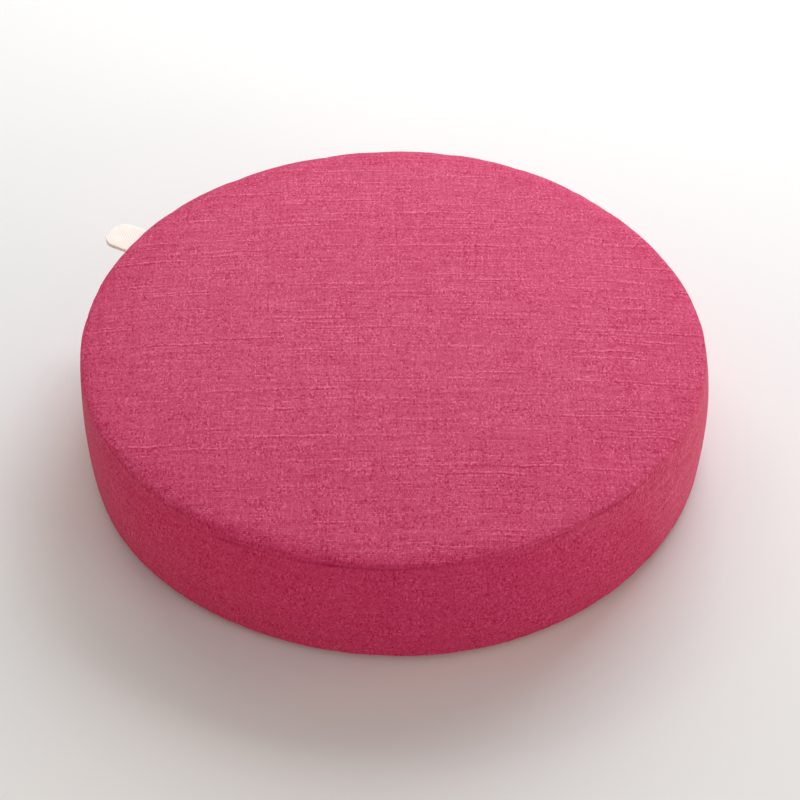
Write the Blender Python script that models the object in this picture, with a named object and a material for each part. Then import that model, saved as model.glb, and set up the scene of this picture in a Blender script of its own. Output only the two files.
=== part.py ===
"""Round boxed floor cushion with a folded tape tab in its upper seam.

Metres, +Z up. The origin is on the floor, under the middle of the cushion. The cushion's front
faces -Y. Bearings are in degrees, anticlockwise from +X as seen from above.

The cover is three cut pieces, an upper round panel, a band and a lower round panel, sewn edge to
edge over a foam disc. Filled, they are one closed form: a flat sole, a lower seam that tucks under
the edge, a band that swells a little, an upper seam that is drawn in and sits askew, an upper
panel that rolls over the foam's edge, and a low crown.
"""

import math
from collections import namedtuple

import bmesh
import bpy
from mathutils import Matrix, Vector

# Cushion, overall
CUSHION_DIAMETER = 0.402
CUSHION_HEIGHT = 0.093
CROWN_POWER = 2.4

# Lower edge: a roll from the flat sole up to the band, with the lower seam halfway along it
SOLE_RADIUS = 0.186
BAND_FOOT_HEIGHT = 0.0072
LOWER_SEAM_DEPTH = 0.0015
LOWER_SEAM_HALF_WIDTH = 0.0020

# Band, fullest halfway up, and upper seam
LOWER_SWELL = 0.0022
UPPER_SEAM_DEPTH = 0.0022
UPPER_SEAM_HALF_WIDTH = 0.0021

# Folded tape tab
TAB_BEARING = 149.2
TAB_WIDTH = 0.024
TAB_REACH = 0.023
TAB_ROOT = 0.008
TAB_CORNER = 0.008
TAB_DROOP = 0.0008
TAPE_THICKNESS = 0.0010
TAPE_EDGE = 0.00025
LAYER_GAP = 0.0005
FOLD_RADIUS = 0.0011
CLEARANCE = 0.0003

# Steps of the solids
BEARING_STEPS = 120
LOWER_ROLL_STEPS = 16
BAND_STEPS = 6
UPPER_ROLL_STEPS = 5
SEAM_SHARES = (-1.0, -0.5, 0.0, 0.5, 1.0)
CROWN_SHARES = (0.965, 0.91, 0.83, 0.71, 0.55, 0.36, 0.17)
LAYER_STEPS = 12
FOLD_STEPS = 8

# The cover is a little out of round: so many turns, so high, with a crest at that bearing
Wave = namedtuple("Wave", "turns rise crest")
PLAN_WAVES = (
    Wave(turns=1, rise=0.00040, crest=20),
    Wave(turns=2, rise=0.00090, crest=-20),
    Wave(turns=3, rise=0.00035, crest=-30),
    Wave(turns=4, rise=0.00025, crest=-18),
    Wave(turns=5, rise=0.00080, crest=-2),
)

# How the upper panel sits round the edge: the height of its seam, how far the seam's lips are drawn
# in from the band's fullest, and where the panel's roll meets the top. It is pulled to the left.
Rim = namedtuple("Rim", "bearing seam_height drawn_in shoulder_radius shoulder_height")
RIMS = (
    Rim(bearing=-156, seam_height=0.0800, drawn_in=0.0018, shoulder_radius=0.1905, shoulder_height=0.0850),
    Rim(bearing=-128, seam_height=0.0766, drawn_in=0.0026, shoulder_radius=0.1920, shoulder_height=0.0838),
    Rim(bearing=-110, seam_height=0.0802, drawn_in=0.0030, shoulder_radius=0.1895, shoulder_height=0.0848),
    Rim(bearing=-90, seam_height=0.0816, drawn_in=0.0034, shoulder_radius=0.1870, shoulder_height=0.0860),
    Rim(bearing=-62, seam_height=0.0840, drawn_in=0.0036, shoulder_radius=0.1905, shoulder_height=0.0872),
    Rim(bearing=-38, seam_height=0.0834, drawn_in=0.0038, shoulder_radius=0.1925, shoulder_height=0.0868),
    Rim(bearing=-8, seam_height=0.0815, drawn_in=0.0040, shoulder_radius=0.1900, shoulder_height=0.0856),
    Rim(bearing=30, seam_height=0.0782, drawn_in=0.0042, shoulder_radius=0.1852, shoulder_height=0.0840),
    Rim(bearing=72, seam_height=0.0760, drawn_in=0.0030, shoulder_radius=0.1850, shoulder_height=0.0838),
    Rim(bearing=112, seam_height=0.0757, drawn_in=0.0024, shoulder_radius=0.1870, shoulder_height=0.0840),
    Rim(bearing=150, seam_height=0.0769, drawn_in=0.0022, shoulder_radius=0.1865, shoulder_height=0.0843),
    Rim(bearing=182, seam_height=0.0792, drawn_in=0.0014, shoulder_radius=0.1880, shoulder_height=0.0848),
)

Finish = namedtuple("Finish", "red green blue roughness metallic")
LINEN = Finish(red=0.56, green=0.085, blue=0.175, roughness=0.90, metallic=0.0)
COTTON_TAPE = Finish(red=0.90, green=0.85, blue=0.76, roughness=0.85, metallic=0.0)


def smoothstep(value):
    """0 up to value 0, 1 from value 1, and a soft step between."""
    share = min(1.0, max(0.0, value))
    return share * share * (3.0 - 2.0 * share)


def wave_sum(waves, bearing):
    """How far the waves push the edge out at a bearing."""
    return sum(w.rise * math.cos(math.radians(w.turns * (bearing - w.crest))) for w in waves)


def rim_at(bearing):
    """The rim at any bearing: a smooth closed curve through the rows of RIMS."""
    start = RIMS[0].bearing
    turned = (bearing - start) % 360.0 + start
    here = max(index for index, rim in enumerate(RIMS) if rim.bearing <= turned + 1e-9)
    count = len(RIMS)

    def row(index):
        rim = RIMS[index % count]
        return rim._replace(bearing=rim.bearing + 360.0 * (index // count))

    before, first, second, after = (row(here + offset) for offset in (-1, 0, 1, 2))
    span = second.bearing - first.bearing
    share = (turned - first.bearing) / span

    def through(field):
        values = [getattr(rim, field) for rim in (before, first, second, after)]
        leave = (values[2] - values[0]) / (second.bearing - before.bearing) * span
        arrive = (values[3] - values[1]) / (after.bearing - first.bearing) * span
        cubed, squared = share**3, share**2
        return (
            (2 * cubed - 3 * squared + 1) * values[1]
            + (cubed - 2 * squared + share) * leave
            + (3 * squared - 2 * cubed) * values[2]
            + (cubed - squared) * arrive
        )

    return Rim(bearing, *[through(field) for field in Rim._fields[1:]])


def band_radius(height, rim):
    """Radius of the band before its upper seam is drawn in: fullest halfway up."""
    middle = (BAND_FOOT_HEIGHT + rim.seam_height) / 2.0
    share = (height - middle) / (rim.seam_height - middle)
    swell = rim.drawn_in if share > 0.0 else LOWER_SWELL
    return CUSHION_DIAMETER / 2.0 - swell * share * share


def trough(share):
    """Depth of a seam across its width, from 0 at its lips, where share is -1 or 1, to 1."""
    return math.cos(min(1.0, abs(share)) * math.pi / 2.0) ** 2


def lower_roll():
    """From the sole's rim to the band's foot: a quarter of an ellipse with a seam halfway."""
    across = CUSHION_DIAMETER / 2.0 - LOWER_SWELL - SOLE_RADIUS
    up = BAND_FOOT_HEIGHT

    def on_ellipse(angle):
        return Vector((SOLE_RADIUS + across * math.sin(angle), up * (1.0 - math.cos(angle))))

    points = []
    for step in range(LOWER_ROLL_STEPS + 1):
        angle = step / LOWER_ROLL_STEPS * math.pi / 2.0
        point = on_ellipse(angle)
        outward = Vector((up * math.sin(angle), -across * math.cos(angle))).normalized()
        away = (point - on_ellipse(math.pi / 4.0)).length / LOWER_SEAM_HALF_WIDTH
        points.append(tuple(point - outward * LOWER_SEAM_DEPTH * trough(away)))
    return points


def upper_seam(rim):
    """Points over the upper seam, from the band up to the upper panel."""
    points = []
    for share in SEAM_SHARES:
        height = rim.seam_height + share * UPPER_SEAM_HALF_WIDTH
        points.append((band_radius(height, rim) - UPPER_SEAM_DEPTH * trough(share), height))
    return points


def upper_roll(start, end):
    """Quarter of an ellipse that leaves start upright and comes level to end, without its ends."""
    points = []
    for step in range(1, UPPER_ROLL_STEPS):
        angle = step / UPPER_ROLL_STEPS * math.pi / 2.0
        inward, upward = 1.0 - math.cos(angle), math.sin(angle)
        radius = start[0] + (end[0] - start[0]) * inward
        points.append((radius, start[1] + (end[1] - start[1]) * upward))
    return points


def crown_height(share, rim):
    """Height of the upper panel at a share of its shoulder's radius."""
    return CUSHION_HEIGHT - (CUSHION_HEIGHT - rim.shoulder_height) * share**CROWN_POWER


def section(bearing):
    """The cushion's outline at one bearing, from the sole's rim to next to the crown's middle."""
    rim = rim_at(bearing)
    foot, seam = lower_roll(), upper_seam(rim)
    bottom, top = foot[-1][1], seam[0][1]
    band = []
    for step in range(1, BAND_STEPS):
        height = bottom + (top - bottom) * step / BAND_STEPS
        band.append((band_radius(height, rim), height))
    shoulder = (rim.shoulder_radius, rim.shoulder_height)
    crown = [(share * rim.shoulder_radius, crown_height(share, rim)) for share in CROWN_SHARES]
    outline = [*foot, *band, *seam, *upper_roll(seam[-1], shoulder), shoulder, *crown]
    stretch = 1.0 + wave_sum(PLAN_WAVES, bearing) / (CUSHION_DIAMETER / 2.0)
    return [(radius * stretch, height) for radius, height in outline]


def material_of(name, finish):
    """Plain Principled material of one finish."""
    material = bpy.data.materials.new(name)
    material.use_nodes = True
    shader = material.node_tree.nodes["Principled BSDF"]
    shader.inputs["Base Color"].default_value = (finish.red, finish.green, finish.blue, 1.0)
    shader.inputs["Roughness"].default_value = finish.roughness
    shader.inputs["Metallic"].default_value = finish.metallic
    return material


def object_of(name, mesh_data, material=None, smooth_angle=40.0):
    """Links a named object that holds the bmesh, shaded smooth but for its sharp edges."""
    bmesh.ops.recalc_face_normals(mesh_data, faces=mesh_data.faces)
    mesh = bpy.data.meshes.new(name)
    mesh_data.to_mesh(mesh)
    mesh_data.free()
    mesh.shade_smooth()
    mesh.set_sharp_from_angle(angle=math.radians(smooth_angle))
    made = bpy.data.objects.new(name, mesh)
    if material:
        mesh.materials.append(material)
    bpy.context.scene.collection.objects.link(made)
    return made


def skin_rings(mesh_data, rings):
    """Faces between rings of equally many points, each ring closed on itself."""
    for lower, upper in zip(rings, rings[1:]):
        for here, corner in enumerate(lower):
            following = (here + 1) % len(lower)
            mesh_data.faces.new((corner, lower[following], upper[following], upper[here]))


def build_cushion(material):
    """The filled cushion as one closed solid, flat on the floor."""
    mesh_data = bmesh.new()
    columns = []
    for step in range(BEARING_STEPS):
        bearing = 360.0 * step / BEARING_STEPS
        turn = Matrix.Rotation(math.radians(bearing), 3, "Z")
        outline = section(bearing)
        columns.append([mesh_data.verts.new(turn @ Vector((r, 0.0, z))) for r, z in outline])
    rings = [list(ring) for ring in zip(*columns)]
    skin_rings(mesh_data, rings)
    mesh_data.faces.new(rings[0])
    middle = mesh_data.verts.new((0.0, 0.0, CUSHION_HEIGHT))
    for here, corner in enumerate(rings[-1]):
        mesh_data.faces.new((corner, rings[-1][(here + 1) % BEARING_STEPS], middle))
    return object_of("cushion", mesh_data, material)


def tab_frame():
    """Matrix from the tab's own axes to the room's: X outwards, Y along the seam, Z up.

    Its origin is between the lips of the upper seam.
    """
    rim = rim_at(TAB_BEARING)
    lip = band_radius(rim.seam_height, rim) + wave_sum(PLAN_WAVES, TAB_BEARING)
    turn = Matrix.Rotation(math.radians(TAB_BEARING), 4, "Z")
    return turn @ Matrix.Translation((lip, 0.0, rim.seam_height))


def tape_line():
    """Middle of the tape's thickness as (outward, up), from its lower cut end round the fold."""
    pressed = (TAPE_THICKNESS + LAYER_GAP) / 2.0
    straight = TAB_REACH - TAPE_THICKNESS / 2.0 - FOLD_RADIUS
    layer = []
    for step in range(LAYER_STEPS + 1):
        outward = -TAB_ROOT + (straight + TAB_ROOT) * step / LAYER_STEPS
        opened = smoothstep(outward / straight)
        layer.append((outward, pressed + (FOLD_RADIUS - pressed) * opened))
    fold = []
    for step in range(1, FOLD_STEPS):
        angle = math.pi * step / FOLD_STEPS - math.pi / 2.0
        fold.append((straight + FOLD_RADIUS * math.cos(angle), FOLD_RADIUS * math.sin(angle)))
    return [(out, -up) for out, up in layer] + fold + layer[::-1]


def tape_half_width(outward):
    """Half the tape's width, less where the fold's corners are rounded."""
    past = max(0.0, outward - (TAB_REACH - TAB_CORNER))
    inset = TAB_CORNER - math.sqrt(max(0.0, TAB_CORNER**2 - past**2))
    return TAB_WIDTH / 2.0 - inset


def drooped(outward, across, up):
    """A point of the tab after it hangs a little under its own weight."""
    share = max(0.0, outward) / TAB_REACH
    return Vector((outward, across, up - TAB_DROOP * share * share))


def build_tab(material):
    """One length of tape folded in half, its two cut ends inside the seam."""
    mesh_data = bmesh.new()
    line = tape_line()
    half = TAPE_THICKNESS / 2.0
    rings = []
    for step, (outward, up) in enumerate(line):
        before, after = line[max(0, step - 1)], line[min(len(line) - 1, step + 1)]
        along = Vector((after[0] - before[0], after[1] - before[1])).normalized()
        normal = Vector((-along.y, along.x))
        wide = tape_half_width(outward)
        flat, upright = wide - TAPE_EDGE, half - TAPE_EDGE
        outline = (
            (wide, upright),
            (flat, half),
            (-flat, half),
            (-wide, upright),
            (-wide, -upright),
            (-flat, -half),
            (flat, -half),
            (wide, -upright),
        )
        rings.append([
            mesh_data.verts.new(drooped(outward + normal.x * off, across, up + normal.y * off))
            for across, off in outline
        ])
    skin_rings(mesh_data, rings)
    mesh_data.faces.new(rings[0])
    mesh_data.faces.new(rings[-1])
    tab = object_of("tab", mesh_data, material)
    tab.matrix_world = tab_frame()
    return tab


def cut_tab_slot(cushion):
    """Opens the seam where the tab's root enters it, a clearance wider than the tab all round."""
    mesh_data = bmesh.new()
    bmesh.ops.create_cube(mesh_data, size=1.0)
    past_lips = 2.0 * UPPER_SEAM_HALF_WIDTH
    inner = -(TAB_ROOT + CLEARANCE)
    size = Vector((
        past_lips - inner,
        TAB_WIDTH + 2.0 * CLEARANCE,
        2.0 * TAPE_THICKNESS + LAYER_GAP + 3.0 * CLEARANCE,
    ))
    bmesh.ops.scale(mesh_data, vec=size, verts=mesh_data.verts)
    bmesh.ops.translate(mesh_data, vec=((past_lips + inner) / 2.0, 0.0, 0.0), verts=mesh_data.verts)
    cutter = object_of("tab_slot_cutter", mesh_data)
    cutter.matrix_world = tab_frame()
    cutter.hide_render = True
    cutter.display_type = "WIRE"
    cut = cushion.modifiers.new("tab slot", "BOOLEAN")
    cut.operation = "DIFFERENCE"
    cut.object = cutter


def main():
    for old in list(bpy.data.objects):
        bpy.data.objects.remove(old, do_unlink=True)
    cushion = build_cushion(material_of("dyed slub linen", LINEN))
    build_tab(material_of("unbleached cotton tape", COTTON_TAPE))
    cut_tab_slot(cushion)


main()
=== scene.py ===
"""Round boxed floor cushion in slub linen, with a folded cotton tape tab, in a plain studio.

Metres, +Z up. The cushion lies on its sole with its front towards -Y. Bearings are in degrees,
anticlockwise from +X as seen from above.
"""

import math
from collections import namedtuple
from functools import partial

import bmesh
import bpy
import numpy as np
from bpy.props import FloatProperty, FloatVectorProperty, PointerProperty
from mathutils import Matrix, Vector


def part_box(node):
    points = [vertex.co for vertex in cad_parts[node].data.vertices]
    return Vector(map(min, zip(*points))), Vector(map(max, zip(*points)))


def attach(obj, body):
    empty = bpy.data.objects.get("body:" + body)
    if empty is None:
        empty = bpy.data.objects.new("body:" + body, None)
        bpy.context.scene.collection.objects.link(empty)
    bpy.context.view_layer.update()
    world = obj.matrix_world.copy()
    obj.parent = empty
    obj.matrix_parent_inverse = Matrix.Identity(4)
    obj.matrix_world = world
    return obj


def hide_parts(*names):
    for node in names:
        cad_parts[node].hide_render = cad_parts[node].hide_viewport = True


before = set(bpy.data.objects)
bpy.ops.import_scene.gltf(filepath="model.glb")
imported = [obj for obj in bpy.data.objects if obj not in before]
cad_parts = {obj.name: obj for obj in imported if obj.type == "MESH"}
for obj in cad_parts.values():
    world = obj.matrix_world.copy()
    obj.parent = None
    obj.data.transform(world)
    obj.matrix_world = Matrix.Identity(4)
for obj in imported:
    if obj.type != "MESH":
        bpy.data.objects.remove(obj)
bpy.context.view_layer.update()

bl_info = {
    "name": "Round Boxed Floor Cushion",
    "version": (1, 0, 0),
    "blender": (4, 5, 0),
    "location": "View3D > Sidebar > Cushion",
    "description": "Builds a round boxed floor cushion of slub linen with a folded tape tab",
    "category": "Object",
}

MM_IN_METRE = 1000.0

# Cushion, overall, as in the solids
CUSHION_DIAMETER = 0.402
CUSHION_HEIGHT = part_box("cushion")[1].z
CROWN_POWER = 2.4

# Upper panel's roll: how far it goes straight up from the seam, and how soon it takes the crown's
# slope, as shares of its rise and of its width
LIP_HANDLE = 0.40
SHOULDER_HANDLE = 0.50

# Lower edge: a roll from the flat sole up to the band, with the lower seam halfway along it
SOLE_RADIUS = 0.186
BAND_FOOT_HEIGHT = 0.0072
LOWER_SWELL = 0.0022

# The cover is a little out of round: so many turns, so high, with a crest at that bearing
Wave = namedtuple("Wave", "turns rise crest")
PLAN_WAVES = (
    Wave(turns=1, rise=0.00040, crest=20),
    Wave(turns=2, rise=0.00090, crest=-20),
    Wave(turns=3, rise=0.00035, crest=-30),
    Wave(turns=4, rise=0.00025, crest=-18),
    Wave(turns=5, rise=0.00080, crest=-2),
)

# How the upper panel sits round the edge: the height of its seam, how far the seam's lips are drawn
# in from the band's fullest, and where the panel's roll meets the top. The panel is pulled to the
# left. Along the front its roll is a little wider and softer than the solids'.
Rim = namedtuple("Rim", "bearing seam_height drawn_in shoulder_radius shoulder_height")
RIMS = (
    Rim(bearing=-156, seam_height=0.0800, drawn_in=0.0018, shoulder_radius=0.1870, shoulder_height=0.0856),
    Rim(bearing=-128, seam_height=0.0766, drawn_in=0.0026, shoulder_radius=0.1875, shoulder_height=0.0850),
    Rim(bearing=-110, seam_height=0.0802, drawn_in=0.0030, shoulder_radius=0.1820, shoulder_height=0.0859),
    Rim(bearing=-90, seam_height=0.0816, drawn_in=0.0034, shoulder_radius=0.1800, shoulder_height=0.0869),
    Rim(bearing=-62, seam_height=0.0840, drawn_in=0.0036, shoulder_radius=0.1840, shoulder_height=0.0881),
    Rim(bearing=-38, seam_height=0.0834, drawn_in=0.0038, shoulder_radius=0.1870, shoulder_height=0.0877),
    Rim(bearing=-8, seam_height=0.0815, drawn_in=0.0040, shoulder_radius=0.1900, shoulder_height=0.0856),
    Rim(bearing=30, seam_height=0.0782, drawn_in=0.0042, shoulder_radius=0.1852, shoulder_height=0.0840),
    Rim(bearing=72, seam_height=0.0760, drawn_in=0.0030, shoulder_radius=0.1850, shoulder_height=0.0838),
    Rim(bearing=112, seam_height=0.0757, drawn_in=0.0024, shoulder_radius=0.1870, shoulder_height=0.0840),
    Rim(bearing=150, seam_height=0.0769, drawn_in=0.0022, shoulder_radius=0.1865, shoulder_height=0.0843),
    Rim(bearing=182, seam_height=0.0792, drawn_in=0.0014, shoulder_radius=0.1880, shoulder_height=0.0848),
)

# How hard the upper seam's thread pulls, from 0, where the cloth only bends, to 1, a crisp line
Pull = namedtuple("Pull", "bearing tight")
SEAM_PULLS = (
    Pull(bearing=-160, tight=0.06),
    Pull(bearing=-138, tight=0.05),
    Pull(bearing=-125, tight=0.15),
    Pull(bearing=-119, tight=0.60),
    Pull(bearing=-113, tight=0.35),
    Pull(bearing=-106, tight=0.40),
    Pull(bearing=-101, tight=0.95),
    Pull(bearing=-97, tight=0.52),
    Pull(bearing=-93, tight=0.62),
    Pull(bearing=-87, tight=0.45),
    Pull(bearing=-80, tight=0.28),
    Pull(bearing=-73, tight=0.10),
    Pull(bearing=-65, tight=0.10),
    Pull(bearing=-61, tight=0.40),
    Pull(bearing=-56, tight=0.15),
    Pull(bearing=-49, tight=0.60),
    Pull(bearing=-44, tight=0.40),
    Pull(bearing=-38, tight=0.12),
    Pull(bearing=-8, tight=0.20),
    Pull(bearing=34, tight=0.60),
    Pull(bearing=72, tight=0.50),
    Pull(bearing=112, tight=0.80),
    Pull(bearing=150, tight=0.65),
    Pull(bearing=180, tight=0.15),
)

# The upper seam's line wanders up and down the cloth by a thread or so
SEAM_WANDER = (
    Wave(turns=9, rise=0.00020, crest=-88),
    Wave(turns=23, rise=0.00022, crest=-99),
    Wave(turns=41, rise=0.00016, crest=-95),
)

# Creases and hollows in the cloth by the upper seam: the middle's bearing, how far above the seam
# it is along the cloth, its length and width, its depth, and how it leans from the seam's line
Crease = namedtuple("Crease", "bearing above long wide depth lean")
CREASES = (
    Crease(bearing=-141, above=-0.0040, long=0.070, wide=0.0110, depth=0.0012, lean=-2),
    Crease(bearing=-117, above=-0.0010, long=0.024, wide=0.0034, depth=0.0012, lean=-4),
    Crease(bearing=-101, above=0.0030, long=0.016, wide=0.0030, depth=0.0007, lean=-5),
    Crease(bearing=-61, above=0.0030, long=0.012, wide=0.0030, depth=0.0005, lean=-20),
    Crease(bearing=-56, above=-0.0042, long=0.014, wide=0.0030, depth=0.0006, lean=24),
    Crease(bearing=-42, above=-0.0050, long=0.012, wide=0.0030, depth=0.0007, lean=50),
    Crease(bearing=-36, above=0.0050, long=0.014, wide=0.0036, depth=0.0005, lean=30),
)

# How far the painted sheen reaches: a paler dye that stands in for the light and sheen on the upper
# face, and down the right side for the side light's sheen. Where it starts, is nearly full and is
# full, along the cloth above the upper seam, or below it where negative. Nearly full is this share
# of the painted sheen
Fade = namedtuple("Fade", "bearing starts nearly_full full")
PAINTED_SHEENS = (
    Fade(bearing=-170, starts=-0.0030, nearly_full=0.0110, full=0.07),
    Fade(bearing=-146, starts=-0.0020, nearly_full=0.0110, full=0.10),
    Fade(bearing=-132, starts=0.0015, nearly_full=0.0120, full=0.13),
    Fade(bearing=-117, starts=0.0035, nearly_full=0.0180, full=0.17),
    Fade(bearing=-95, starts=0.0010, nearly_full=0.0135, full=0.20),
    Fade(bearing=-84, starts=-0.0010, nearly_full=0.0160, full=0.20),
    Fade(bearing=-68, starts=-0.0100, nearly_full=0.0170, full=0.19),
    Fade(bearing=-54, starts=-0.0300, nearly_full=0.0140, full=0.16),
    Fade(bearing=-43, starts=-0.0450, nearly_full=0.0090, full=0.13),
    Fade(bearing=-20, starts=-0.1800, nearly_full=-0.0200, full=0.08),
    Fade(bearing=20, starts=-0.0600, nearly_full=0.0060, full=0.05),
    Fade(bearing=90, starts=0.0010, nearly_full=0.0130, full=0.04),
    Fade(bearing=160, starts=0.0000, nearly_full=0.0110, full=0.05),
)
NEARLY_FULL = 0.68

# Steps of the cover before it is subdivided once. The band's ends meet at the back, the crown's rows
# lie furthest apart at its edge, and the upper seam's rows are this far above its line
COLUMNS = 280
SOLE_STEPS = 9
LOWER_ROLL_STEPS = 10
BAND_STEPS = 14
UPPER_ROLL_STEPS = 8
CROWN_STEPS = 24
CROWN_STEP_POWER = 1.25
SEAM_GAPS = (-0.0024, -0.0012, -0.0006, 0.0, 0.0006, 0.0012, 0.0024)
LOWER_SEAM_ROW = SOLE_STEPS - 1 + LOWER_ROLL_STEPS // 2
UPPER_SEAM_ROW = SOLE_STEPS - 1 + LOWER_ROLL_STEPS + BAND_STEPS + len(SEAM_GAPS) // 2
JOIN_BEARING = 90.0

# Filling: how long the cloth settles, how hard it is filled, by what share it is cut larger, and how
# far it may come out of its outline. The crown is held out to one radius and free from the other, and
# the cloth is held where it is this near to the floor or to a seam's line
SETTLING_FRAMES = 20
FILLING_PRESSURE = 3.0
CLOTH_EASE = 0.012
MOST_UNEVEN = 0.0016
HELD_CROWN_RADIUS = 0.120
FREE_CROWN_RADIUS = 0.160
HELD_WITHIN = 1e-6

# Seams: a groove that narrows downwards, and above the upper one a lip where the cloth is pushed up.
# How far a point is from a seam is kept up to a limit
SEAM_HALF_WIDTH = 0.0016
LOWER_SEAM_HALF_WIDTH = 0.0020
GROOVE_POWER = 1.4
LIP_RISE = 0.0004
LIP_ABOVE_SEAM = 0.0026
LIP_HALF_WIDTH = 0.0020
FAR_FROM_SEAM = 0.200

# Slub linen, in millimetres on the cloth: how long the streaks in a yarn are, and how big the patches
# of stronger grain and of the patchy painted sheen. A blotch of the grain is measured in yarns
WARP_STREAK_MM = 48.0
WEFT_STREAK_MM = 28.0
SLUB_STREAK_MM = 100.0
GRAIN_PATCH_MM = 22.0
SHEEN_PAINT_PATCH_MM = 7.0
GRAIN_YARNS = 1.25

# The yarns wander slowly and wobble quickly: how far apart the bends are and how far they go
Bend = namedtuple("Bend", "apart_mm reach_mm detail")
BENDS = (
    Bend(apart_mm=30.0, reach_mm=3.0, detail=2.0),
    Bend(apart_mm=6.0, reach_mm=1.7, detail=1.0),
)

# How far apart in the noise two yarns side by side lie, so that they differ, and how many yarns on
# the slubs are read, so that they don't follow the streaks
YARN_STRIDE = 3.7
SLUB_YARNS_ON = 100.0

# Slub linen, as shares: where a slub shows in its yarn's swelling and is full, how high it stands
# beside a crossing, how far the grain's strength swings, how much of the yarns shows where there is
# no painted sheen, how patchy the painted sheen is, and what turns an even step of tone into one of linear
# dye
SLUB_STARTS = 0.57
SLUB_FULL = 0.86
SLUB_RELIEF = 0.35
GRAIN_SWING = 0.25
YARNS_WITHOUT_PAINTED_SHEEN = 0.35
SHEEN_PAINT_PATCHY = 0.36
EYE_TO_DYE = 1.27

# What adds to the linen's tone: its source, the source's middle, and how much of its way off that
# middle is added
Tone = namedtuple("Tone", "source middle share")

# Twill tape: how far its ribs slant in degrees, how much of its colour is left between them as painted
# shade in the rib hollows, how big its fuzz is in millimetres and what share of the relief, and how
# many bands a wave texture of scale 1 draws in a unit
RIB_SLANT = 52.0
RIB_HOLLOW_SHADE = 0.93
FUZZ_MM = 1.25
FUZZ_SHARE = 0.45
BANDS_IN_UNIT = 3.18

# Rolled paint: its stipple has this many bumps in a metre, 3.3 mm apart
STIPPLE_IN_METRE = 300.0

# A Mix node's inputs and its output by their places, for colours
MIX_SHARE, MIX_FIRST, MIX_SECOND, MIXED = 0, 6, 7, 2

# Folded tape tab, as in the solids but for its corners, which are rounder, and a slight ripple, whose
# waves are in radians for each metre, from a start in radians
TAB_BEARING = 149.2
TAB_ROOT = 0.008
TAB_CORNER = 0.0105
TAB_DROOP = 0.0008
RIPPLE_RISE = 0.00025
RIPPLE_ACROSS = 520.0
RIPPLE_OUTWARD = 260.0
RIPPLE_START = 1.0
TAPE_THICKNESS = 0.0010
LAYER_GAP = 0.0005
FOLD_RADIUS = 0.0011
LAYER_STEPS = 40
FOLD_STEPS = 14
WIDTH_STEPS = 26
EDGE_STEPS = 4

# Camera
CAMERA_ELEVATION = 43.963
CAMERA_DISTANCE = 1.600
CAMERA_LENS_MM = 107.252
CAMERA_SENSOR_MM = 36.0
CAMERA_AIM = Vector((0.004241, 0.029659, 0.0))

# Studio. Each softbox is a square of its size in metres, and its power is in watts
FLOOR_SIZE = 12.0
SKY_STRENGTH = 0.37
Softbox = namedtuple("Softbox", "name place aim size power colour")
SOFTBOXES = (
    Softbox(
        "back right softbox", place=(0.65, 1.45, 1.25), aim=(0.0, 0.0, 0.05),
        size=1.3, power=32.8, colour="#F8FAFF",
    ),
    Softbox(
        "back left softbox", place=(-0.5, 1.6, 1.3), aim=(0.0, 0.0, 0.05),
        size=1.3, power=13.0, colour="#FFF4E4",
    ),
    Softbox(
        "front right softbox", place=(1.6, -1.2, 0.5), aim=(0.0, 0.0, 0.05),
        size=0.8, power=8.8, colour="#FFF8EC",
    ),
    Softbox(
        "front left softbox", place=(-1.5, -1.4, 0.5), aim=(0.0, 0.0, 0.05),
        size=0.8, power=9.2, colour="#FFC69C",
    ),
    Softbox(
        "right softbox", place=(1.95, 0.1, 0.5), aim=(0.1, 0.0, 0.05),
        size=0.8, power=7.8, colour="#FFAC5A",
    ),
)


def linear(hex_colour):
    """Linear red, green and blue of an sRGB colour such as #FFFFFF."""
    shares = [int(hex_colour[place : place + 2], 16) / 255.0 for place in (1, 3, 5)]
    return [s / 12.92 if s <= 0.04045 else ((s + 0.055) / 1.055) ** 2.4 for s in shares]


def smoothstep(value):
    """0 up to value 0, 1 from value 1, and a soft step between."""
    share = np.clip(value, 0.0, 1.0)
    return share * share * (3.0 - 2.0 * share)


def wave_sum(waves, bearing):
    """What the waves add up to at a bearing."""
    return sum(w.rise * np.cos(np.radians(w.turns * (bearing - w.crest))) for w in waves)


def row_at(rows, bearing):
    """A table's row at any bearing: a smooth closed curve through rows in order of bearing."""
    start = rows[0].bearing
    turned = (bearing - start) % 360.0 + start
    here = max(index for index, row in enumerate(rows) if row.bearing <= turned)

    def neighbour(index):
        row = rows[index % len(rows)]
        return row._replace(bearing=row.bearing + 360.0 * (index // len(rows)))

    before, first, second, after = (neighbour(here + offset) for offset in (-1, 0, 1, 2))
    span = second.bearing - first.bearing
    share = (turned - first.bearing) / span

    def through(field):
        values = [getattr(row, field) for row in (before, first, second, after)]
        leave = (values[2] - values[0]) / (second.bearing - before.bearing) * span
        arrive = (values[3] - values[1]) / (after.bearing - first.bearing) * span
        cubed, squared = share**3, share**2
        return (
            (2 * cubed - 3 * squared + 1) * values[1]
            + (cubed - 2 * squared + share) * leave
            + (3 * squared - 2 * cubed) * values[2]
            + (cubed - squared) * arrive
        )

    return type(first)(bearing, *[through(field) for field in first._fields[1:]])


def rows_at(rows, bearings):
    """A table's row with an array in each column, a number for each bearing."""
    found = [row_at(rows, bearing) for bearing in bearings]
    return type(found[0])(*[np.array(column) for column in zip(*found)])


def rows_round(rows, bearings):
    """The same for very many bearings, read between whole degrees."""
    whole = np.arange(361.0)
    table = rows_at(rows, whole)
    return type(table)(*[np.interp(bearings % 360.0, whole, column) for column in table])


def band_radius(height, rim):
    """Radius of the band: fullest halfway up."""
    middle = (BAND_FOOT_HEIGHT + rim.seam_height) / 2.0
    share = (height - middle) / (rim.seam_height - middle)
    swell = np.where(share > 0.0, rim.drawn_in, LOWER_SWELL)
    return CUSHION_DIAMETER / 2.0 - swell * share * share


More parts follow.
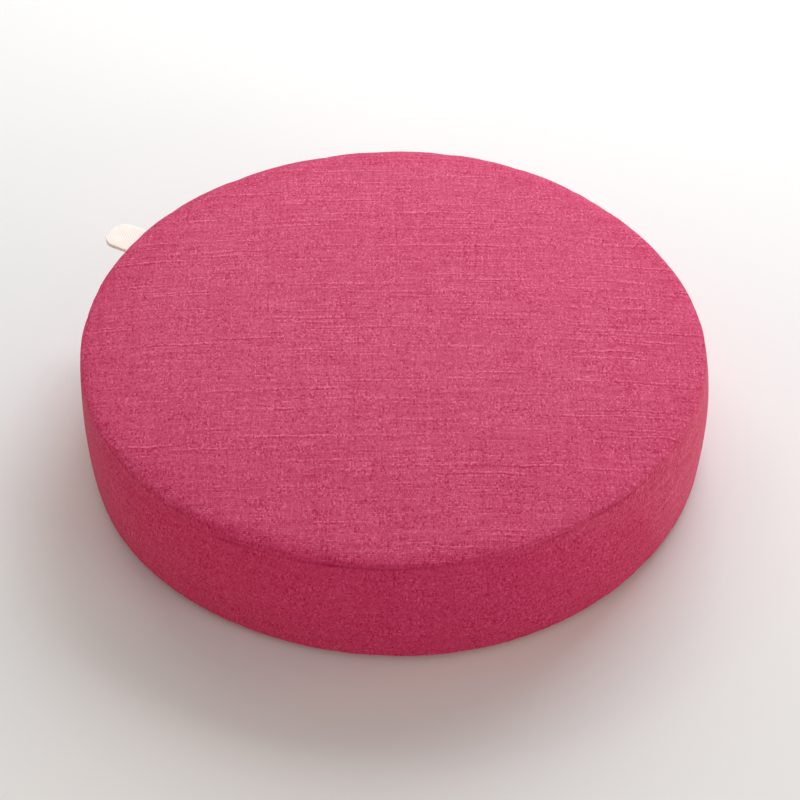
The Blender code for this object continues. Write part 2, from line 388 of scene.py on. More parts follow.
def upper_roll(lip_radius, lip_height, rim):
    """Rows of the upper panel's roll: straight up from the seam's lip, then over to the crown's slope."""
    crown_slope = CROWN_POWER * (CUSHION_HEIGHT - rim.shoulder_height) / rim.shoulder_radius
    reach = SHOULDER_HANDLE * (lip_radius - rim.shoulder_radius)
    handles = (
        (lip_radius, lip_height),
        (lip_radius, lip_height + LIP_HANDLE * (rim.shoulder_height - lip_height)),
        (rim.shoulder_radius + reach, rim.shoulder_height - crown_slope * reach),
        (rim.shoulder_radius, rim.shoulder_height),
    )
    rows = []
    for step in range(1, UPPER_ROLL_STEPS):
        share = step / UPPER_ROLL_STEPS
        rest = 1.0 - share
        weights = rest**3, 3.0 * share * rest**2, 3.0 * share**2 * rest, share**3
        rows.append(tuple(sum(w * h for w, h in zip(weights, column)) for column in zip(*handles)))
    return rows


def cover_rows(rim):
    """(radius, height) of the cover's rows, from next to the sole's middle up to the crown's."""
    level = np.zeros_like(rim.seam_height)
    rows = [(level + SOLE_RADIUS * step / SOLE_STEPS, level) for step in range(1, SOLE_STEPS)]
    across = CUSHION_DIAMETER / 2.0 - LOWER_SWELL - SOLE_RADIUS
    for step in range(LOWER_ROLL_STEPS):
        angle = step / LOWER_ROLL_STEPS * math.pi / 2.0
        up = BAND_FOOT_HEIGHT * (1.0 - math.cos(angle))
        rows.append((level + SOLE_RADIUS + across * math.sin(angle), level + up))
    band_top = rim.seam_height + SEAM_GAPS[0]
    heights = [
        BAND_FOOT_HEIGHT + (band_top - BAND_FOOT_HEIGHT) * step / BAND_STEPS
        for step in range(BAND_STEPS)
    ]
    heights += [rim.seam_height + gap for gap in SEAM_GAPS]
    rows += [(band_radius(height, rim), height) for height in heights]
    rows += upper_roll(*rows[-1], rim)
    for step in range(CROWN_STEPS):
        share = (1.0 - step / CROWN_STEPS) ** CROWN_STEP_POWER
        drop = (CUSHION_HEIGHT - rim.shoulder_height) * share**CROWN_POWER
        rows.append((rim.shoulder_radius * share, CUSHION_HEIGHT - drop))
    return rows


def lengths_along(radius, height):
    """How far each row is from the sole's middle along the cloth."""
    steps = np.hypot(np.diff(radius, axis=0), np.diff(height, axis=0))
    return np.concatenate([radius[:1], radius[0] + np.cumsum(steps, axis=0)])


def cover_mesh(sizes):
    """The cover as one closed mesh, with the cloth's own map, and each point's place by the seams."""
    bearings = JOIN_BEARING + 360.0 * np.arange(COLUMNS) / COLUMNS
    rim = rows_at(RIMS, bearings)
    radius, height = (np.array(part) for part in zip(*cover_rows(rim)))
    radius = radius * (1.0 + wave_sum(PLAN_WAVES, bearings) / (CUSHION_DIAMETER / 2.0))
    radius = radius * sizes.diameter / CUSHION_DIAMETER
    height = height * sizes.height / CUSHION_HEIGHT
    along = lengths_along(radius, height)
    whole = along[-1] + radius[-1]
    last = len(radius) - 1

    def cloth_place(piece, row, column):
        """Where a point is on the flat cut piece, in metres."""
        turn = math.radians(JOIN_BEARING + 360.0 * column / COLUMNS)
        column %= COLUMNS
        if piece == "band":
            around = turn * sizes.diameter / 2.0
            return around, along[row, column] - along[LOWER_SEAM_ROW, column]
        out = along[row, column] if piece == "sole" else whole[column] - along[row, column]
        return out * math.cos(turn), out * math.sin(turn)

    mesh_data = bmesh.new()
    cloth_map = mesh_data.loops.layers.uv.new("cloth")
    turns = np.radians(bearings)
    grid = [
        [mesh_data.verts.new((r * math.cos(t), r * math.sin(t), z)) for r, z, t in zip(rs, zs, turns)]
        for rs, zs in zip(radius, height)
    ]
    foot = mesh_data.verts.new((0.0, 0.0, 0.0))
    crown = mesh_data.verts.new((0.0, 0.0, sizes.height))

    def sew(corners, places):
        face = mesh_data.faces.new(corners)
        face.smooth = True
        for loop, place in zip(face.loops, places):
            loop[cloth_map].uv = place

    for column in range(COLUMNS):
        after = (column + 1) % COLUMNS
        sides = [cloth_place("sole", 0, column + 1), cloth_place("sole", 0, column)]
        sew((foot, grid[0][after], grid[0][column]), [(0.0, 0.0), *sides])
        for row in range(last):
            piece = "sole" if row < LOWER_SEAM_ROW else "band" if row < UPPER_SEAM_ROW else "top"
            spots = ((row, column), (row, column + 1), (row + 1, column + 1), (row + 1, column))
            corners = [grid[up][round_it % COLUMNS] for up, round_it in spots]
            sew(corners, [cloth_place(piece, *spot) for spot in spots])
        sides = [cloth_place("top", last, column), cloth_place("top", last, column + 1)]
        sew((grid[last][column], grid[last][after], crown), [*sides, (0.0, 0.0)])

    mesh = bpy.data.meshes.new("cushion cover")
    mesh_data.to_mesh(mesh)
    mesh_data.free()
    for name, row in (("above_lower_seam", LOWER_SEAM_ROW), ("above_upper_seam", UPPER_SEAM_ROW)):
        gaps = np.clip(along - along[row], -FAR_FROM_SEAM, FAR_FROM_SEAM)
        keep_value(mesh, name, np.append(gaps.ravel(), [-FAR_FROM_SEAM, FAR_FROM_SEAM]))
    return mesh


def points_of(mesh):
    """The mesh's points as an array of rows."""
    points = np.empty(len(mesh.vertices) * 3, np.float32)
    mesh.vertices.foreach_get("co", points)
    return points.reshape(-1, 3)


def normals_of(mesh):
    """The direction out of the mesh at each point."""
    normals = np.empty(len(mesh.vertices) * 3, np.float32)
    mesh.vertex_normals.foreach_get("vector", normals)
    return normals.reshape(-1, 3)


def place_points(mesh, points):
    """Moves the mesh's points."""
    mesh.vertices.foreach_set("co", points.astype(np.float32).ravel())
    mesh.update()


def value_of(mesh, name):
    """A named number at each point of the mesh."""
    values = np.empty(len(mesh.vertices), np.float32)
    mesh.attributes[name].data.foreach_get("value", values)
    return values


def evaluated_mesh(piece):
    """A new mesh of the piece with its modifiers, which are then removed."""
    graph = bpy.context.evaluated_depsgraph_get()
    mesh = bpy.data.meshes.new_from_object(piece.evaluated_get(graph), depsgraph=graph)
    piece.modifiers.clear()
    return mesh


def settle_cloth(cover, unevenness):
    """Fills the cover as cloth held at its seams, and keeps how unevenly it settles by them.

    The cover's outline stays as it is, so only what differs round each row is kept.
    """
    mesh = cover.data
    before, outward = points_of(mesh), normals_of(mesh)
    centre_distance = np.hypot(before[:, 0], before[:, 1])
    held = 1.0 - smoothstep(
        (centre_distance - HELD_CROWN_RADIUS) / (FREE_CROWN_RADIUS - HELD_CROWN_RADIUS)
    )
    held[before[:, 2] < HELD_WITHIN] = 1.0
    for name in ("above_lower_seam", "above_upper_seam"):
        held[np.abs(value_of(mesh, name)) < HELD_WITHIN] = 1.0
    group = cover.vertex_groups.new(name="held")
    for index, weight in enumerate(held):
        group.add([index], float(weight), "REPLACE")

    cloth = cover.modifiers.new("cloth", "CLOTH")
    settings = cloth.settings
    settings.quality = 6
    settings.mass = 0.15
    settings.tension_stiffness = settings.compression_stiffness = 25.0
    settings.shear_stiffness = 12.0
    settings.bending_stiffness = 0.12
    settings.shrink_min = -CLOTH_EASE
    settings.use_pressure = True
    settings.uniform_pressure_force = FILLING_PRESSURE
    settings.effector_weights.gravity = 0.0
    settings.vertex_group_mass = group.name
    cloth.collision_settings.use_collision = False
    cloth.point_cache.frame_start = 1
    cloth.point_cache.frame_end = SETTLING_FRAMES
    for number in range(1, SETTLING_FRAMES + 1):
        bpy.context.scene.frame_set(number)
    settled = points_of(evaluated_mesh(cover))
    bpy.context.scene.frame_set(1)
    cover.vertex_groups.clear()

    # The last two points are the sole's middle and the crown's, and belong to no row
    swell = ((settled - before) * outward).sum(axis=1)
    by_row = swell[:-2].reshape(-1, COLUMNS)
    uneven = by_row - by_row.mean(axis=1, keepdims=True)
    uneven = MOST_UNEVEN * np.tanh(uneven * unevenness / MOST_UNEVEN)
    moved = before.copy()
    moved[:-2] += outward[:-2] * uneven.reshape(-1, 1)
    place_points(mesh, moved)


def bearings_of(points):
    """The points' bearings in degrees."""
    return np.degrees(np.arctan2(points[:, 1], points[:, 0]))


def keep_value(mesh, name, values):
    """Keeps a number at each point of the mesh, for its material."""
    mesh.attributes.new(name, "FLOAT", "POINT").data.foreach_set("value", values.astype(np.float32))


def paint_sheen_face(mesh):
    """Keeps the share of painted sheen, a paler dye for the light and sheen on the upper face: from 0, the
    sides' dye, to 1, the palest face.
    """
    above = value_of(mesh, "above_upper_seam")
    sheen_reach = rows_round(PAINTED_SHEENS, bearings_of(points_of(mesh)))
    edge = smoothstep((above - sheen_reach.starts) / (sheen_reach.nearly_full - sheen_reach.starts))
    inner = smoothstep((above - sheen_reach.nearly_full) / (sheen_reach.full - sheen_reach.nearly_full))
    keep_value(mesh, "painted_sheen", NEARLY_FULL * edge + (1.0 - NEARLY_FULL) * inner)


def press_seams(mesh, sizes):
    """Draws the cloth in along both seams, and presses the creases beside the upper one."""
    points, outward = points_of(mesh), normals_of(mesh)
    above_upper, above_lower = value_of(mesh, "above_upper_seam"), value_of(mesh, "above_lower_seam")
    bearing = bearings_of(points)
    tight = rows_round(SEAM_PULLS, bearing).tight

    def valley(gap, half_width):
        return np.clip(1.0 - np.abs(gap) / half_width, 0.0, 1.0) ** GROOVE_POWER

    wander = wave_sum(SEAM_WANDER, bearing)
    upper_valley = valley(above_upper - wander, SEAM_HALF_WIDTH)
    # How much painted shade the seam's groove takes: a deeper dye where the thread pulls tight, strongest
    # at the groove's bottom
    keep_value(mesh, "painted_seam_shade", tight * np.sqrt(upper_valley))
    depth = sizes.seam_depth * tight * upper_valley
    depth += sizes.seam_depth * valley(above_lower, LOWER_SEAM_HALF_WIDTH)
    lip = np.exp(-(((above_upper - LIP_ABOVE_SEAM) / LIP_HALF_WIDTH) ** 2))
    depth -= LIP_RISE * tight * lip
    for crease in CREASES:
        turned = (bearing - crease.bearing + 180.0) % 360.0 - 180.0
        around = np.radians(turned) * sizes.diameter / 2.0
        above = above_upper - crease.above
        lean = math.radians(crease.lean)
        lengthways = around * math.cos(lean) + above * math.sin(lean)
        sideways = above * math.cos(lean) - around * math.sin(lean)
        reach = (lengthways / (crease.long / 2.0)) ** 2 + (sideways / (crease.wide / 2.0)) ** 2
        depth += crease.depth * np.exp(-reach)
    place_points(mesh, points - outward * depth.reshape(-1, 1))


def add_node(tree, kind, *values, **settings):
    """Adds a shader node with its settings, and fills its inputs.

    They are filled in order or, from a dictionary, by name or place. A value is a number, a colour, or
    the node or socket that feeds the input.
    """
    node = tree.nodes.new("ShaderNode" + kind)
    for name, value in settings.items():
        setattr(node, name, value)
    inputs = values[0] if values and isinstance(values[0], dict) else dict(enumerate(values))
    for name, value in inputs.items():
        if isinstance(value, bpy.types.Node):
            value = value.outputs[0]
        if isinstance(value, bpy.types.NodeSocket):
            tree.links.new(value, node.inputs[name])
        else:
            node.inputs[name].default_value = value
    return node


def new_material(name):
    """An empty node material: the material, what adds a node to it, and its shader."""
    material = bpy.data.materials.new(name)
    material.use_nodes = True
    tree = material.node_tree
    return material, partial(add_node, tree), tree.nodes["Principled BSDF"]


def feed(shader, **sources):
    """Links nodes or sockets to the shader's inputs, named with underscores for spaces."""
    for name, source in sources.items():
        socket = source.outputs[0] if isinstance(source, bpy.types.Node) else source
        shader.id_data.links.new(socket, shader.inputs[name.replace("_", " ")])


def slub_linen(name, top_dyes_painted_sheen, side_dyes, seam_shade_dye, warp_mm, weft_mm):
    """Slub linen, piece-dyed and plain-woven from thick-and-thin yarn.

    The eye gets a dry, matt cloth: a fine grain of yarns over and under, yarns that took the dye
    unevenly, and beaded pale streaks, each over a thin painted shadow, where a weft yarn thickens. The
    upper face has a paler dye as painted sheen, for the light and sheen it catches, and the upper seam's
    groove a deeper one as painted shade.
    Real yarns are 0.6 mm apart, which is under a pixel here, so they are drawn at warp_mm and weft_mm.
    Dyes are (deep, pale).
    """
    material, node, shader = new_material(name)

    # Place on the cloth in millimetres, and moved by the yarns' bends
    place = node("UVMap", uv_map="cloth")
    flat_mm = node("VectorMath", {0: place, "Scale": MM_IN_METRE}, operation="SCALE")
    moved_mm = flat_mm
    for bend in BENDS:
        swing = node(
            "TexNoise", {"Vector": flat_mm, "Scale": 1.0 / bend.apart_mm, "Detail": bend.detail},
            noise_dimensions="2D",
        )
        reach = (bend.reach_mm, bend.reach_mm, 0.0)
        moved_mm = node("VectorMath", swing.outputs["Color"], reach, moved_mm, operation="MULTIPLY_ADD")
    split = node("SeparateXYZ", moved_mm)
    x_mm, y_mm = split.outputs["X"], split.outputs["Y"]
    warp_place = node("Math", x_mm, warp_mm, operation="DIVIDE")
    weft_place = node("Math", y_mm, weft_mm, operation="DIVIDE")
    warp_count = node("Math", warp_place, operation="FLOOR")
    weft_count = node("Math", weft_place, operation="FLOOR")

    # Thick-and-thin yarn: streaks along it, each one yarn wide
    def streaks(along_mm, count, length_mm, detail):
        step = node("Math", along_mm, length_mm, operation="DIVIDE")
        yarn = node("Math", count, YARN_STRIDE, operation="MULTIPLY")
        spot = node("CombineXYZ", step, yarn)
        return node("TexNoise", {"Vector": spot, "Scale": 1.0, "Detail": detail}, noise_dimensions="2D")

    def slubs(yarns_on):
        count = node("Math", weft_count, yarns_on, operation="ADD")
        swell = streaks(x_mm, count, SLUB_STREAK_MM, detail=1.0)
        return node("MapRange", swell, SLUB_STARTS, SLUB_FULL, 0.0, 1.0, interpolation_type="SMOOTHSTEP")

    weft_yarn = streaks(x_mm, weft_count, WEFT_STREAK_MM, detail=2.0)
    warp_yarn = streaks(y_mm, warp_count, WARP_STREAK_MM, detail=2.0)
    slub = slubs(SLUB_YARNS_ON)
    # Painted shadow: the yarn in front of each slub is darkened where the slub's shadow would fall
    slub_painted_shadow = slubs(SLUB_YARNS_ON + 1.0)

    # Over and under: each crossing is a small rise, and no two are alike. A slub is beaded where the
    # warp crosses it
    def rise(spot):
        turn = node("Math", node("Math", spot, operation="FRACT"), math.pi, operation="MULTIPLY")
        return node("Math", turn, operation="SINE")

    across = rise(weft_place)
    crossing = node("Math", rise(warp_place), across, operation="MULTIPLY")
    cell = node("CombineXYZ", warp_count, weft_count)
    speck = node("TexWhiteNoise", {"Vector": cell}, noise_dimensions="2D")
    yarn_place = node("CombineXYZ", warp_place, weft_place)
    grain = node(
        "TexNoise", {"Vector": yarn_place, "Scale": 1.0 / GRAIN_YARNS, "Detail": 2.0, "Roughness": 0.7},
        noise_dimensions="2D",
    )
    bead = node("Math", speck, slub, operation="MULTIPLY")
    cloud = node(
        "TexNoise", {"Vector": flat_mm, "Scale": 1.0 / GRAIN_PATCH_MM, "Detail": 4.0, "Roughness": 0.6},
        noise_dimensions="2D",
    )

    # Tone from 0, the deep dye, to 1, the pale one
    def blended(start, tones):
        """The start, and of each source its share of how far it is from its middle."""
        total = start
        for tone in tones:
            off_middle = node("Math", tone.source, -tone.middle, operation="ADD")
            total = node("Math", off_middle, tone.share, total, operation="MULTIPLY_ADD")
        return total

    # The cube leaves most crossings near the middle and makes a few stand out. The yarns start a little
    # low, to make up for their pale slubs
    odd_yarn = node("Math", node("Math", speck, -0.5, operation="ADD"), 3.0, operation="POWER")
    grains = blended(0.0, (
        Tone(crossing, middle=0.40, share=0.08),
        Tone(odd_yarn, middle=0.00, share=2.90),
        Tone(grain, middle=0.50, share=0.76),
    ))
    yarns = blended(-0.02, (
        Tone(weft_yarn, middle=0.50, share=0.54),
        Tone(warp_yarn, middle=0.50, share=0.33),
        Tone(slub, middle=0.00, share=0.12),
        Tone(bead, middle=0.00, share=0.40),
        # painted shadow in front of each slub
        Tone(slub_painted_shadow, middle=0.00, share=-0.22),
    ))

    # The grain is stronger in some patches, and the yarns show best where the sheen is painted. The cloud
    # stays mostly between 0.35 and 0.65
    painted_sheen = node("Attribute", attribute_name="painted_sheen").outputs["Fac"]
    grain_strength = node("MapRange", cloud, 0.35, 0.65, 1.0 - GRAIN_SWING, 1.0 + GRAIN_SWING)
    yarn_strength = node("MapRange", painted_sheen, 0.0, NEARLY_FULL, YARNS_WITHOUT_PAINTED_SHEEN, 1.0)
    plain_tone = node("Math", grains, grain_strength, 0.5, operation="MULTIPLY_ADD")
    whole_tone = node("Math", yarns, yarn_strength, plain_tone, operation="MULTIPLY_ADD")
    dye_share = node("Math", whole_tone, EYE_TO_DYE, operation="POWER", use_clamp=True)

    # The painted sheen is patchy, and the upper seam's groove takes a deeper dye as painted shade
    patch = node(
        "TexNoise", {"Vector": flat_mm, "Scale": 1.0 / SHEEN_PAINT_PATCH_MM, "Detail": 2.0},
        noise_dimensions="2D",
    )
    off_middle = node("Math", patch, -0.5, operation="ADD")
    patchy_sheen = node("Math", off_middle, SHEEN_PAINT_PATCHY, painted_sheen, operation="MULTIPLY_ADD")
    painted_seam_shade = node("Attribute", attribute_name="painted_seam_shade").outputs["Fac"]
    # The upper face's paler dyes are painted sheen; the sides keep the cloth's own dye
    side, top = (
        node(
            "Mix", {MIX_SHARE: dye_share, MIX_FIRST: (*deep, 1.0), MIX_SECOND: (*pale, 1.0)},
            data_type="RGBA",
        ).outputs[MIXED]
        for deep, pale in (side_dyes, top_dyes_painted_sheen)
    )
    cloth = node(
        "Mix", {MIX_SHARE: patchy_sheen, MIX_FIRST: side, MIX_SECOND: top},
        data_type="RGBA",
    ).outputs[MIXED]
    # Painted shade in the upper seam's groove: the seam's deeper dye
    colour = node(
        "Mix", {MIX_SHARE: painted_seam_shade, MIX_FIRST: cloth, MIX_SECOND: (*seam_shade_dye, 1.0)},
        data_type="RGBA",
    ).outputs[MIXED]

    # The relief of the crossings, and more of it where a slub is thick
    rough_yarn = node("Math", crossing, node("Math", speck, 0.5, operation="ADD"), operation="MULTIPLY")
    thick_yarn = node("Math", slub, across, operation="MULTIPLY")
    relief = node("Math", thick_yarn, SLUB_RELIEF, rough_yarn, operation="MULTIPLY_ADD")
    feed(
        shader,
        Base_Color=colour,
        Roughness=node("MapRange", whole_tone, 0.0, 1.0, 0.80, 0.68),
        Normal=node("Bump", {"Strength": 0.4, "Distance": 0.0004, "Height": relief}),
    )
    shader.inputs["IOR"].default_value = 1.50
    shader.inputs["Specular IOR Level"].default_value = 0.20
    shader.inputs["Sheen Weight"].default_value = 0.12
    shader.inputs["Sheen Roughness"].default_value = 0.30
    shader.inputs["Sheen Tint"].default_value = (*linear("#FFE6E2"), 1.0)
    return material


def cotton_twill_tape(name, colour, rib_mm=1.6):
    """Unbleached cotton twill tape, narrow-woven and pressed in half.

    The eye gets a soft cream with fine slanting ribs and a firmer edge. Real ribs are 0.8 mm apart
    and are drawn at rib_mm to show.
    """
    material, node, shader = new_material(name)
    place = node("UVMap", uv_map="cloth")
    flat_mm = node("VectorMath", {0: place, "Scale": MM_IN_METRE}, operation="SCALE")
    slanted = node("Mapping", {"Vector": flat_mm, "Rotation": (0.0, 0.0, math.radians(RIB_SLANT))})
    scale = 1.0 / (BANDS_IN_UNIT * rib_mm)
    rib = node(
        "TexWave", {"Vector": slanted, "Scale": scale, "Distortion": 0.6, "Detail": 2.0},
        wave_type="BANDS", bands_direction="X",
    )
    fuzz = node(
        "TexNoise", {"Vector": flat_mm, "Scale": 1.0 / FUZZ_MM, "Detail": 3.0},
        noise_dimensions="2D",
    )
    relief = node("Mix", {"Factor": FUZZ_SHARE, "A": rib.outputs["Fac"], "B": fuzz})
    # Painted shade: the tape is drawn darker where the ribs and fuzz are low
    hollow_painted_shade = [channel * RIB_HOLLOW_SHADE for channel in colour]
    shade = node(
        "Mix", {MIX_SHARE: relief, MIX_FIRST: (*hollow_painted_shade, 1.0), MIX_SECOND: (*colour, 1.0)},
        data_type="RGBA",
    ).outputs[MIXED]
    feed(
        shader,
        Base_Color=shade,
        Roughness=node("MapRange", fuzz, 0.3, 0.7, 0.78, 0.90),
        Normal=node("Bump", {"Strength": 0.5, "Distance": 0.0003, "Height": relief}),
    )
    shader.inputs["IOR"].default_value = 1.50
    shader.inputs["Specular IOR Level"].default_value = 0.30
    shader.inputs["Sheen Weight"].default_value = 0.10
    return material


def painted_board(name, colour):
    """Board painted in matt emulsion with a roller, which gives the eye an even, pale floor."""
    material, node, shader = new_material(name)
    place = node("TexCoord").outputs["Object"]
    stipple = node("TexNoise", {"Vector": place, "Scale": STIPPLE_IN_METRE, "Detail": 2.0})
    feed(shader, Normal=node("Bump", {"Strength": 0.05, "Distance": 0.0003, "Height": stipple}))
    shader.inputs["Base Color"].default_value = (*colour, 1.0)
    shader.inputs["Roughness"].default_value = 0.9
    shader.inputs["Specular IOR Level"].default_value = 0.2
    return material


def tab_matrix(sizes):
    """From the tab's own axes to the room's: X outwards, Y along the seam, Z up, from its lips."""
    rim = row_at(RIMS, TAB_BEARING)
    lip = float(band_radius(rim.seam_height, rim)) + wave_sum(PLAN_WAVES, TAB_BEARING)
    out = lip * sizes.diameter / CUSHION_DIAMETER
    up = rim.seam_height * sizes.height / CUSHION_HEIGHT
    return Matrix.Rotation(math.radians(TAB_BEARING), 4, "Z") @ Matrix.Translation((out, 0.0, up))


def tape_line(reach):
    """Middle of the tape's thickness as (outward, up), from its lower cut end round the fold."""
    pressed = (TAPE_THICKNESS + LAYER_GAP) / 2.0
    straight = reach - TAPE_THICKNESS / 2.0 - FOLD_RADIUS
    layer = []
    for step in range(LAYER_STEPS + 1):
        outward = -TAB_ROOT + (straight + TAB_ROOT) * step / LAYER_STEPS
        opened = float(smoothstep(outward / straight))
        layer.append((outward, pressed + (FOLD_RADIUS - pressed) * opened))
    fold = []
    for step in range(1, FOLD_STEPS):
        angle = math.pi * step / FOLD_STEPS - math.pi / 2.0
        fold.append((straight + FOLD_RADIUS * math.cos(angle), FOLD_RADIUS * math.sin(angle)))
    return [(out, -up) for out, up in layer] + fold + layer[::-1]


def tape_section(half_width):
    """The tape's cut end as (across, off): two flat faces and two rounded woven edges."""
    half = TAPE_THICKNESS / 2.0
    flat = half_width - half
    faces = [flat * (1.0 - 2.0 * step / WIDTH_STEPS) for step in range(WIDTH_STEPS + 1)]
    turns = [math.pi * step / EDGE_STEPS for step in range(1, EDGE_STEPS)]
    far_edge = [(-flat - half * math.sin(turn), half * math.cos(turn)) for turn in turns]
    near_edge = [(flat + half * math.sin(turn), -half * math.cos(turn)) for turn in turns]
    upper = [(across, half) for across in faces]
    lower = [(-across, -half) for across in faces]
    return upper + far_edge + lower + near_edge


def tab_mesh(sizes):
    """The folded tape as one closed mesh, with the tape's own map in metres."""
    mesh_data = bmesh.new()
    tape_map = mesh_data.loops.layers.uv.new("cloth")
    line = tape_line(sizes.tab_reach)
    rings, places, travelled = [], [], 0.0
    for step, (outward, up) in enumerate(line):
        before, after = line[max(0, step - 1)], line[min(len(line) - 1, step + 1)]
        along = Vector((after[0] - before[0], after[1] - before[1])).normalized()
        past = max(0.0, outward - (sizes.tab_reach - TAB_CORNER))
        inset = TAB_CORNER - math.sqrt(max(0.0, TAB_CORNER**2 - past**2))
        share = max(0.0, outward) / sizes.tab_reach
        if step:
            travelled += math.dist(line[step - 1], line[step])
        ring, place = [], []
        for across, off in tape_section(sizes.tab_width / 2.0 - inset):
            wave = math.sin(across * RIPPLE_ACROSS + RIPPLE_START) * math.cos(outward * RIPPLE_OUTWARD)
            height = up + along.x * off - TAB_DROOP * share * share + RIPPLE_RISE * share * wave
            ring.append(mesh_data.verts.new((outward - along.y * off, across, height)))
            place.append((travelled, across))
        rings.append(ring)
        places.append(place)
    count = len(rings[0])
    for step in range(len(rings) - 1):
        for here in range(count):
            after = (here + 1) % count
            spots = ((step, here), (step, after), (step + 1, after), (step + 1, here))
            face = mesh_data.faces.new([rings[ring][place] for ring, place in spots])
            for loop, (ring, place) in zip(face.loops, spots):
                loop[tape_map].uv = places[ring][place]
    for ends in (0, -1):
        mesh_data.faces.new(rings[ends])
    bmesh.ops.recalc_face_normals(mesh_data, faces=mesh_data.faces)
    mesh_data.transform(tab_matrix(sizes))
    mesh = bpy.data.meshes.new("tab tape")
    mesh_data.to_mesh(mesh)
    mesh_data.free()
    mesh.shade_smooth()
    return mesh


def add_piece(name, mesh, material):
    """Links an object that holds the mesh, with its material."""
    piece = bpy.data.objects.new(name, mesh)
    mesh.materials.append(material)
    bpy.context.scene.collection.objects.link(piece)
    return piece


class CushionSizes(bpy.types.PropertyGroup):
    """Sizes of the cushion and its tab."""

    diameter: FloatProperty(
        name="Diameter", description="Across the band at its fullest",
        default=CUSHION_DIAMETER, min=0.2, max=0.8, unit="LENGTH",
    )
    height: FloatProperty(
        name="Height", description="From the floor to the crown",
        default=CUSHION_HEIGHT, min=0.04, max=0.3, unit="LENGTH",
    )
    seam_depth: FloatProperty(
        name="Seam depth", description="How deep the seams are drawn in where they are tightest",
        default=0.0009, min=0.0, max=0.006, unit="LENGTH",
    )
    unevenness: FloatProperty(
        name="Unevenness", description="How much of the settled cloth's waviness is kept",
        default=0.3, min=0.0, max=2.0, subtype="FACTOR",
    )
    warp_pitch: FloatProperty(
        name="Warp pitch", description="Distance between the drawn warp yarns",
        default=0.0010, min=0.0004, max=0.005, unit="LENGTH",
    )
    weft_pitch: FloatProperty(
        name="Weft pitch", description="Distance between the drawn weft yarns",
        default=0.0013, min=0.0004, max=0.005, unit="LENGTH",
    )
    tab_width: FloatProperty(
        name="Tab width", description="Width of the tape",
        default=0.024, min=0.01, max=0.05, unit="LENGTH",
    )
    tab_reach: FloatProperty(
        name="Tab reach", description="How far the tab stands out of its seam",
        default=0.023, min=0.01, max=0.06, unit="LENGTH",
    )


class CushionColours(bpy.types.PropertyGroup):
    """Colours of the cloth, the tape and the floor."""

    # The upper face's dyes are paler than the sides' as painted sheen, for the light and sheen it catches
    top_deep_painted_sheen: FloatVectorProperty(
        name="Upper face, deep dye", description="Upper face where its yarns are darkest",
        default=linear("#B11F4E"), min=0.0, max=1.0, subtype="COLOR",
    )
    top_pale_painted_sheen: FloatVectorProperty(
        name="Upper face, pale dye", description="Upper face where its yarns are palest",
        default=linear("#E56D95"), min=0.0, max=1.0, subtype="COLOR",
    )
    side_deep: FloatVectorProperty(
        name="Sides, deep dye", description="Sides and turned edge where their yarns are darkest",
        default=linear("#A8023B"), min=0.0, max=1.0, subtype="COLOR",
    )
    side_pale: FloatVectorProperty(
        name="Sides, pale dye", description="Sides and turned edge where their yarns are palest",
        default=linear("#D94D82"), min=0.0, max=1.0, subtype="COLOR",
    )
    # The upper seam's groove is drawn in this deeper dye as painted shade
    seam: FloatVectorProperty(
        name="Seam", description="The cloth drawn into the upper seam, where it never faded",
        default=linear("#A2104E"), min=0.0, max=1.0, subtype="COLOR",
    )
    tape: FloatVectorProperty(
        name="Tape", description="The tab's cotton tape",
        default=linear("#FDF6F0"), min=0.0, max=1.0, subtype="COLOR",
    )
    floor: FloatVectorProperty(
        name="Floor", description="The studio's floor",
        default=linear("#E6EAEB"), min=0.0, max=1.0, subtype="COLOR",
    )


class OBJECT_OT_cushion_cover(bpy.types.Operator):
    """Sew and fill the linen cover: upper panel, band and sole"""

    bl_idname = "object.cushion_cover"
    bl_label = "Cushion cover"

    def execute(self, context):
        sizes, colours = context.scene.cushion_sizes, context.scene.cushion_colours
        pitches = sizes.warp_pitch * MM_IN_METRE, sizes.weft_pitch * MM_IN_METRE
        # The upper face's paler dyes are painted sheen
        top_dyes_painted_sheen = colours.top_deep_painted_sheen, colours.top_pale_painted_sheen
        side_dyes = colours.side_deep, colours.side_pale
        linen = slub_linen("slub linen", top_dyes_painted_sheen, side_dyes, colours.seam, *pitches)
        cover = add_piece("cushion_cover", cover_mesh(sizes), linen)
        settle_cloth(cover, sizes.unevenness)
        rounding = cover.modifiers.new("rounding", "SUBSURF")
        rounding.levels = rounding.render_levels = 1
        rounding.use_limit_surface = False
        rough_mesh = cover.data
        cover.data = evaluated_mesh(cover)
        bpy.data.meshes.remove(rough_mesh)
        press_seams(cover.data, sizes)
        paint_sheen_face(cover.data)
        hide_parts("cushion")
        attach(cover, "root")
        return {"FINISHED"}


class OBJECT_OT_cushion_tab(bpy.types.Operator):
    """Fold the cotton tape tab into the upper seam"""

    bl_idname = "object.cushion_tab"
    bl_label = "Tape tab"

    def execute(self, context):
        sizes, colours = context.scene.cushion_sizes, context.scene.cushion_colours
        tape = cotton_twill_tape("cotton twill tape", colours.tape)
        tab = add_piece("tab_tape", tab_mesh(sizes), tape)
        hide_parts("tab")
        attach(tab, "root")
        return {"FINISHED"}


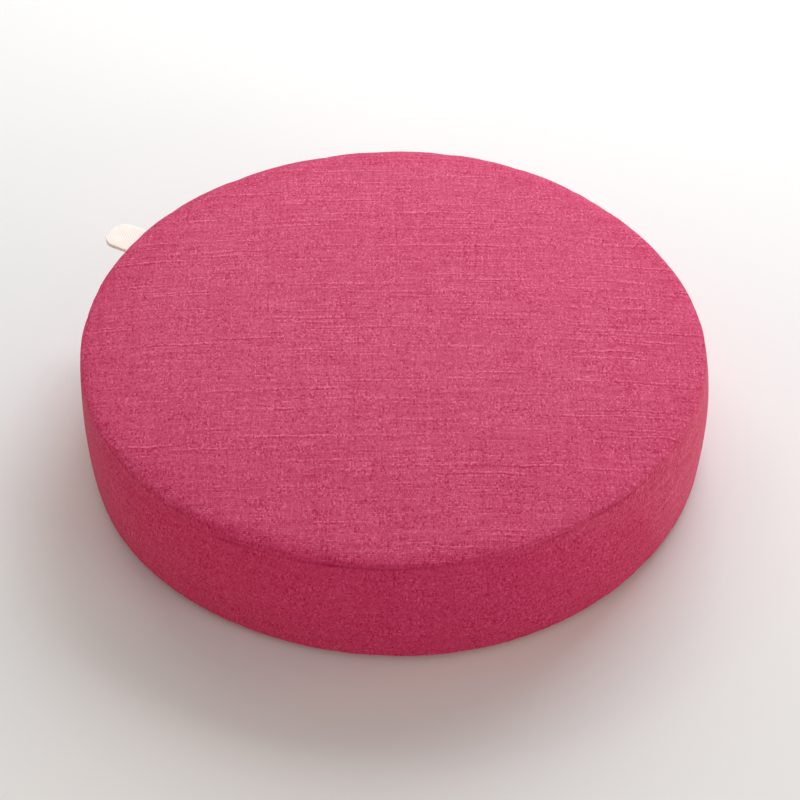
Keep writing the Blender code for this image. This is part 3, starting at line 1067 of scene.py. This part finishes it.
class OBJECT_OT_cushion_studio(bpy.types.Operator):
    """Set up the floor, the soft lights and the camera"""

    bl_idname = "object.cushion_studio"
    bl_label = "Studio"

    def execute(self, context):
        mesh_data = bmesh.new()
        bmesh.ops.create_grid(mesh_data, x_segments=1, y_segments=1, size=FLOOR_SIZE / 2.0)
        mesh = bpy.data.meshes.new("floor")
        mesh_data.to_mesh(mesh)
        mesh_data.free()
        board = painted_board("painted board", context.scene.cushion_colours.floor)
        floor = add_piece("floor", mesh, board)

        for softbox in SOFTBOXES:
            lamp = bpy.data.lights.new(softbox.name, "AREA")
            lamp.size = softbox.size
            lamp.energy = softbox.power
            lamp.color = linear(softbox.colour)
            light = bpy.data.objects.new(softbox.name, lamp)
            light.location = softbox.place
            towards = Vector(softbox.aim) - light.location
            light.rotation_euler = towards.to_track_quat("-Z", "Y").to_euler()
            context.scene.collection.objects.link(light)

        world = bpy.data.worlds.new("studio")
        world.use_nodes = True
        background = world.node_tree.nodes["Background"]
        background.inputs["Color"].default_value = (1.0, 1.0, 1.0, 1.0)
        background.inputs["Strength"].default_value = SKY_STRENGTH
        context.scene.world = world
        context.scene.view_settings.view_transform = "Standard"

        lens = bpy.data.cameras.new("camera")
        lens.lens = CAMERA_LENS_MM
        lens.sensor_width = CAMERA_SENSOR_MM
        camera = bpy.data.objects.new("camera", lens)
        rise = math.radians(CAMERA_ELEVATION)
        back = Vector((0.0, -math.cos(rise), math.sin(rise)))
        camera.location = CAMERA_AIM + back * CAMERA_DISTANCE
        camera.rotation_euler = (math.pi / 2.0 - rise, 0.0, 0.0)
        context.scene.collection.objects.link(camera)
        context.scene.camera = camera
        return {"FINISHED"}


class VIEW3D_PT_cushion(bpy.types.Panel):
    """The cushion's sizes and colours, and a button for each piece."""

    bl_idname = "VIEW3D_PT_cushion"
    bl_label = "Round floor cushion"
    bl_space_type = "VIEW_3D"
    bl_region_type = "UI"
    bl_category = "Cushion"

    def draw(self, context):
        for group in (context.scene.cushion_sizes, context.scene.cushion_colours):
            column = self.layout.column(align=True)
            for name in group.__annotations__:
                column.prop(group, name)
        for operator in OPERATORS:
            self.layout.operator(operator.bl_idname)


OPERATORS = (OBJECT_OT_cushion_cover, OBJECT_OT_cushion_tab, OBJECT_OT_cushion_studio)
CLASSES = (CushionSizes, CushionColours, *OPERATORS, VIEW3D_PT_cushion)


def register():
    for entry in CLASSES:
        bpy.utils.register_class(entry)
    bpy.types.Scene.cushion_sizes = PointerProperty(type=CushionSizes)
    bpy.types.Scene.cushion_colours = PointerProperty(type=CushionColours)


def unregister():
    del bpy.types.Scene.cushion_colours
    del bpy.types.Scene.cushion_sizes
    for entry in reversed(CLASSES):
        bpy.utils.unregister_class(entry)


def main():
    register()
    bpy.ops.object.cushion_cover()
    bpy.ops.object.cushion_tab()
    bpy.ops.object.cushion_studio()


if __name__ == "__main__":
    main()
